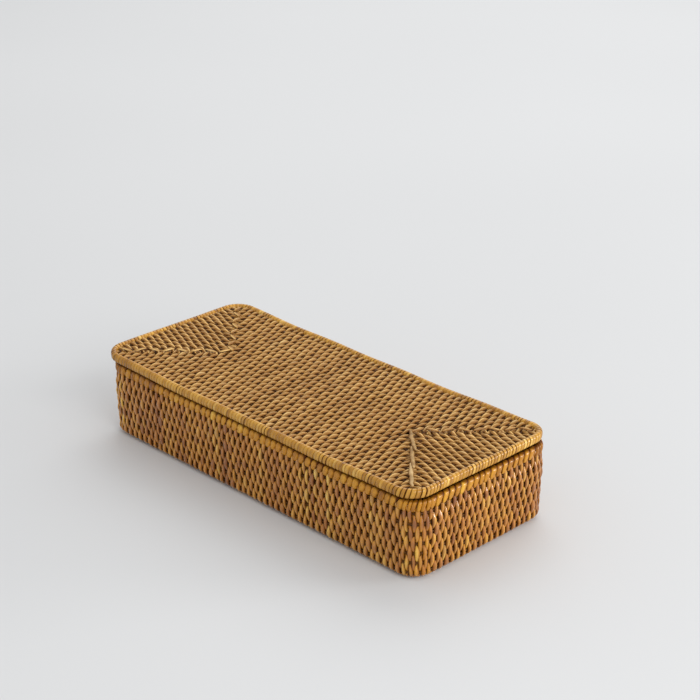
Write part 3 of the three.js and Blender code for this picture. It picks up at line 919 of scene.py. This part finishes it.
def turn_ends(rng, loop, pitch, crowding):
    """Where the turns of a winding meet around its loop: uneven, and closer where the loop bends."""
    spots = np.linspace(0, loop.length, LOOP_SPOTS + 1)
    _, outward = loop.at((spots[:-1] + spots[1:]) / 2)
    bent = np.abs(outward[:, 0] * outward[:, 1]) > SLIGHTEST_BEND
    counted = np.concatenate([[0], np.cumsum(1 + crowding * bent)])
    turns = round(counted[-1] / LOOP_SPOTS * loop.length / pitch)
    marks = np.arange(turns + 1) / turns
    marks[1:-1] += rng.uniform(-TURN_SPREAD, TURN_SPREAD, turns - 1) / turns
    return np.interp(marks, counted / counted[-1], spots)


def turn_tones(rng, crowded):
    """A shade for each turn: a slow drift, differences from turn to turn and a few dark ones."""
    turns = len(crowded)
    blend = np.ones(DRIFT_TURNS) / math.sqrt(DRIFT_TURNS)
    drift = np.convolve(rng.normal(0, 1, turns + DRIFT_TURNS), blend, "same")[:turns]
    own = rng.normal(0, TURN_SHADE_SPREAD, turns)
    tones = np.clip(0.5 + TURN_DRIFT * drift + own - CROWDED_DULLNESS * crowded, 0, 1)
    tones[rng.random(turns) < DARK_TURNS] = DARK_TONE
    return tones


def turn_seams(rng, loop, ends, seam):
    """How much painted shade the seams beside each turn get, where a few darker ones stand together in runs.
    """
    least, most = seam
    turns = len(ends) - 1
    _, looking = loop.at((ends[:-1] + ends[1:]) / 2)
    chance = SEAM_RUNS + END_SEAM_RUNS * looking[:, 0] ** 2
    runs = np.convolve(rng.random(turns) < chance, SEAM_RUN, "same")
    return least + (most - least) * np.clip(runs + rng.uniform(0, SEAM_SPREAD, turns), 0, 1)


def wind_rim(name, prefix, body, finish, loop, pitch, thickness, slant, turn_width, seam, seed,
             groove=0, tail=0.0, offset=None, crowding=0.0):
    """A peel strip wound close around two stacked hoops, and the hoops themselves.

    The turns are painted darker as shade in the groove between lid and box, above or below the rim as its
    sign says,
    and in the seams between them: seam gives the least and the most of that shade.
    """
    rng = np.random.default_rng(seed)
    binding = f"{prefix}_binding"
    half_height = half_size(binding)[2]
    height = middle_of(binding)[2]
    hoop_gap = middle_of(f"{prefix}_hoop_upper")[2] - height
    radius = half_height - hoop_gap - thickness / 2
    ends = turn_ends(rng, loop, pitch, crowding)
    widths = np.diff(ends)
    turns = len(widths)
    turn = np.arange(turns * STEPS_PER_TURN) / STEPS_PER_TURN
    across, up, out_across, out_up = oval(turn, radius, hoop_gap)
    outer = across > 0
    to_groove = np.clip(groove * up / half_height, 0, 1)
    to_tail = np.clip(-up / half_height, 0, 1) ** 2 * outer * (tail > 0)
    across = across * (1 - GROOVE_ROUND * to_groove ** 1.5 * outer - TAIL_PINCH / 2 * to_tail)
    up = up - outer * groove * GROOVE_GAP * to_groove - tail * to_tail
    whole = np.arange(turns + 1)
    distance = np.interp(turn, whole, ends) + slant * up
    plan, outward = loop.at(distance)
    path = plan + outward * across[:, None] + UP * (height + up)[:, None]
    face = outward * out_across[:, None] + UP * out_up[:, None]
    width = np.interp(turn, whole + 0.5, np.append(widths, widths[0])) * turn_width
    width = width * (1 - TAIL_PINCH * to_tail)
    this_turn = np.floor(turn + 0.25).astype(int) % turns  # each begins on the inner side
    crowded = np.clip(pitch / widths - 1, 0, 1) * crowding
    tones = turn_tones(rng, crowded)
    seams = turn_seams(rng, loop, ends, seam) * (1 - crowded)
    # painted shade: the turns darken at their seams and towards the groove between lid and box
    edges = np.clip((np.abs(np.cos(section_angles(RIM_SIDES))) - SEAM_FROM) / SEAM_FADE, 0, 1)
    groove_unshaded = 1 - np.clip((to_groove - GROOVE_FROM) / GROOVE_FADE, 0, 1)
    crown = groove_unshaded[:, None] * (1 - seams[this_turn][:, None] * edges)
    mesh = Strands()
    mesh.add(path, face, width / 2, thickness / 2, tones[this_turn], crown, closed=True, sides=RIM_SIDES,
             cell_steps=STEPS_PER_TURN, seed=strand_seed(rng))
    mesh.piece(name, body, "binding", finish, [binding], TURNS_PER_MAP_ROW, offset)
    for place, side in (("upper", 1), ("lower", -1)):
        node = f"{prefix}_hoop_{place}"
        cane_ring(f"{node}_cane", node, body, loop, height + side * hoop_gap, hoop_radius, rng, offset)


def make_rims():
    wind_rim("box_rim_wrap", "rim", "box", box_rim_peel, loop_at(rim_reach), BOX_RIM_PITCH,
             BOX_RIM_THICKNESS, BOX_RIM_SLANT, BOX_TURN_WIDTH, BOX_RIM_SEAMS, BOX_RIM_SEED,
             groove=1, tail=BOX_RIM_TAIL, crowding=BEND_CROWDING)
    lid_rim = loop_at(reach_of("lid_rim_hoop_upper", hoop_radius))
    wind_rim("lid_rim_wrap", "lid_rim", "lid", lid_rim_peel, lid_rim, LID_RIM_PITCH,
             LID_RIM_THICKNESS, LID_RIM_SLANT, LID_TURN_WIDTH, LID_RIM_SEAMS, LID_RIM_SEED,
             groove=-1, offset=lid_centre)
    lip_half = half_size("lid_lip_hoop_upper") - hoop_radius
    lip = Loop(lip_half[0], lip_half[1], LIP_CORNER_RADIUS)
    wind_rim("lid_lip_wrap", "lid_lip", "lid", lid_rim_peel, lip, LIP_PITCH,
             LID_RIM_THICKNESS, LID_RIM_SLANT, LID_TURN_WIDTH, LIP_SEAMS, LIP_SEED, offset=lid_centre)


# Hips of the lid
Hip = namedtuple("Hip", "start along sideways length")


def hip_of(way_x, way_y):
    """A hip of the lid, from the end of the ridge to its corner."""
    along = unit(np.array([way_x, way_y, 0.0]))
    start = np.array([way_x * ridge_end, 0.0, 0.0])
    inner = reach_of("lid_rim_hoop_upper", hoop_radius) - hoop_radius - LID_RIM_THICKNESS
    return Hip(start, along, np.cross(UP, along), corner_y * math.sqrt(2) + inner)


def hip_strand(mesh, rng, hip, begin, end, drift, lift, height, width, ends):
    """A strand along a hip: drift gives its sideways place along its length, and lift how high it rises."""
    share = np.linspace(0, 1, max(int((end - begin) / HIP_STEP), LEAST_HIP_STEPS))
    run = begin + (end - begin) * share
    rough = np.linspace(0, 1, max(int((end - begin) / HIP_WAVER_STEP), LEAST_WAVER_STEPS))
    waver, swell, stain = (np.interp(share, rough, rng.normal(0, 1, len(rough))) for _ in range(3))
    beside = drift(share) + HIP_WAVER * waver
    above = height + lift(share)
    path = hip.start + hip.along * run[:, None] + hip.sideways * beside[:, None] + UP * above[:, None]
    taper = np.clip(np.sin(math.pi * share), LEAST_TAPER, 1) ** ends
    tone = np.clip(rng.normal(HIP_TONE, HIP_TONE_SPREAD) + HIP_STAIN * stain, 0, 1)
    face = np.broadcast_to(UP, path.shape)
    edge = np.cos(section_angles(SECTION_SIDES)) ** 4
    # painted shade: darker towards the tapered ends and at the edges
    crown = (0.5 + 0.5 * taper[:, None]) * (1 - HIP_EDGE_SHADE * edge)
    half_width = width / 2 * taper * (1 + HIP_SWELL * swell)
    mesh.add(path, face, half_width, HIP_STRAND_THICKNESS / 2, tone, crown, seed=strand_seed(rng))


def laid_hip(mesh, rng, hip, height):
    """Long strands laid along a hip, the end of each lapped over the start of the next."""
    for begin, end, from_side, to_side in HIP_SLIVERS:
        hip_strand(mesh, rng, hip, begin * hip.length, end * hip.length,
                   lambda share: from_side + (to_side - from_side) * share ** 1.5,
                   lambda share: SLIVER_RISE * share + SLIVER_START,
                   height, HIP_STRAND_WIDTH, BLUNT_ENDS)


def plait_hip(mesh, rng, hip, height):
    """Short strands laid slantwise across a hip from both sides."""
    for i in range(int((hip.length - PLAIT_LENGTH) / PLAIT_SPACING) + 1):
        way = 1 if i % 2 else -1
        begin = i * PLAIT_SPACING
        hip_strand(mesh, rng, hip, begin, begin + PLAIT_LENGTH,
                   lambda share: way * PLAIT_REACH * np.cos(math.pi * share),
                   lambda share: PLAIT_BULGE * np.sin(math.pi * share) + PLAIT_START,
                   height, PLAIT_STRAND_WIDTH, POINTED_ENDS)


def make_hips():
    """Strands over the four hips: long ones laid along one of them, a plait of short ones on the others."""
    rng = np.random.default_rng(HIP_SEED)
    for place_y, way_y in (("front", -1), ("back", 1)):
        for place_x, way_x in (("left", -1), ("right", 1)):
            node = f"lid_hip_cord_{place_y}_{place_x}"
            hip = hip_of(way_x, way_y)
            low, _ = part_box(node)
            height = low[2] + HIP_STRAND_THICKNESS / 2
            mesh = Strands()
            if (place_y, place_x) == LAID_HIP:
                laid_hip(mesh, rng, hip, height)
                finish = hip_peel
            else:
                plait_hip(mesh, rng, hip, height)
                finish = lid_strip
            name = f"{place_y}_{place_x}_hip_strands"
            mesh.piece(name, "lid", "binding", finish, [node], offset=lid_centre)


# The whole box
make_walls()
make_base()
make_lid_weave()
make_cores()
make_rims()
make_hips()


# Stage, light and camera
def make_floor():
    finish = Finish("pale_floor")
    place = finish.node("ShaderNodeTexCoord", output="Object")
    mottle = finish.noise(place, FLOOR_MOTTLE_SCALE, detail=1.0)
    colour = finish.ramp(mottle, [(0.2, FLOOR_GREY), (0.8, FLOOR_PALE)])
    material = finish.surface(colour, roughness=0.9, height=mottle, depth=FLOOR_BUMP,
                              Specular_IOR_Level=0.1)
    mesh = bpy.data.meshes.new("floor")
    far = FLOOR_HALF
    mesh.from_pydata([(-far, -far, 0), (far, -far, 0), (far, far, 0), (-far, far, 0)], [], [(0, 1, 2, 3)])
    mesh.materials.append(material)
    floor = bpy.data.objects.new("floor", mesh)
    bpy.context.scene.collection.objects.link(floor)


def soft_light(name, place, width, height, power):
    """A broad studio lamp that looks at the box."""
    light = bpy.data.lights.new(name, "AREA")
    light.shape = "RECTANGLE"
    light.size = width
    light.size_y = height
    light.energy = power
    lamp = bpy.data.objects.new(name, light)
    lamp.location = place
    lamp.rotation_mode = "QUATERNION"
    lamp.rotation_quaternion = lamp.location.to_track_quat("Z", "Y")
    bpy.context.scene.collection.objects.link(lamp)


def make_light():
    soft_light("window", place=(1.75, -0.40, 1.10), width=1.3, height=0.9, power=17)
    soft_light("gleam", place=(1.55, 1.65, 0.36), width=0.9, height=0.45, power=22)
    soft_light("back", place=(-0.90, 1.50, 1.80), width=2.0, height=2.0, power=22)
    world = bpy.data.worlds.new("studio")
    world.use_nodes = True
    bpy.context.scene.world = world
    background = world.node_tree.nodes["Background"]
    background.inputs["Color"].default_value = WHITE
    background.inputs["Strength"].default_value = WORLD_LIGHT


def make_camera():
    azimuth, elevation = math.radians(CAMERA_AZIMUTH), math.radians(CAMERA_ELEVATION)
    back = Vector((math.sin(azimuth) * math.cos(elevation), -math.cos(azimuth) * math.cos(elevation),
                   math.sin(elevation)))
    right = (-back).cross(Vector((0, 0, 1))).normalized()
    up = right.cross(-back)
    data = bpy.data.cameras.new("photo_camera")
    data.lens = CAMERA_LENS
    data.sensor_width = CAMERA_SENSOR
    data.clip_end = CAMERA_REACH
    camera = bpy.data.objects.new("photo_camera", data)
    camera.location = Vector(lid_centre) + back * CAMERA_DISTANCE + right * CAMERA_RIGHT + up * CAMERA_UP
    camera.rotation_mode = "QUATERNION"
    camera.rotation_quaternion = Matrix((right, up, back)).transposed().to_quaternion()
    bpy.context.scene.collection.objects.link(camera)
    bpy.context.scene.camera = camera


make_floor()
make_light()
make_camera()
bpy.context.scene.view_settings.view_transform = "Standard"
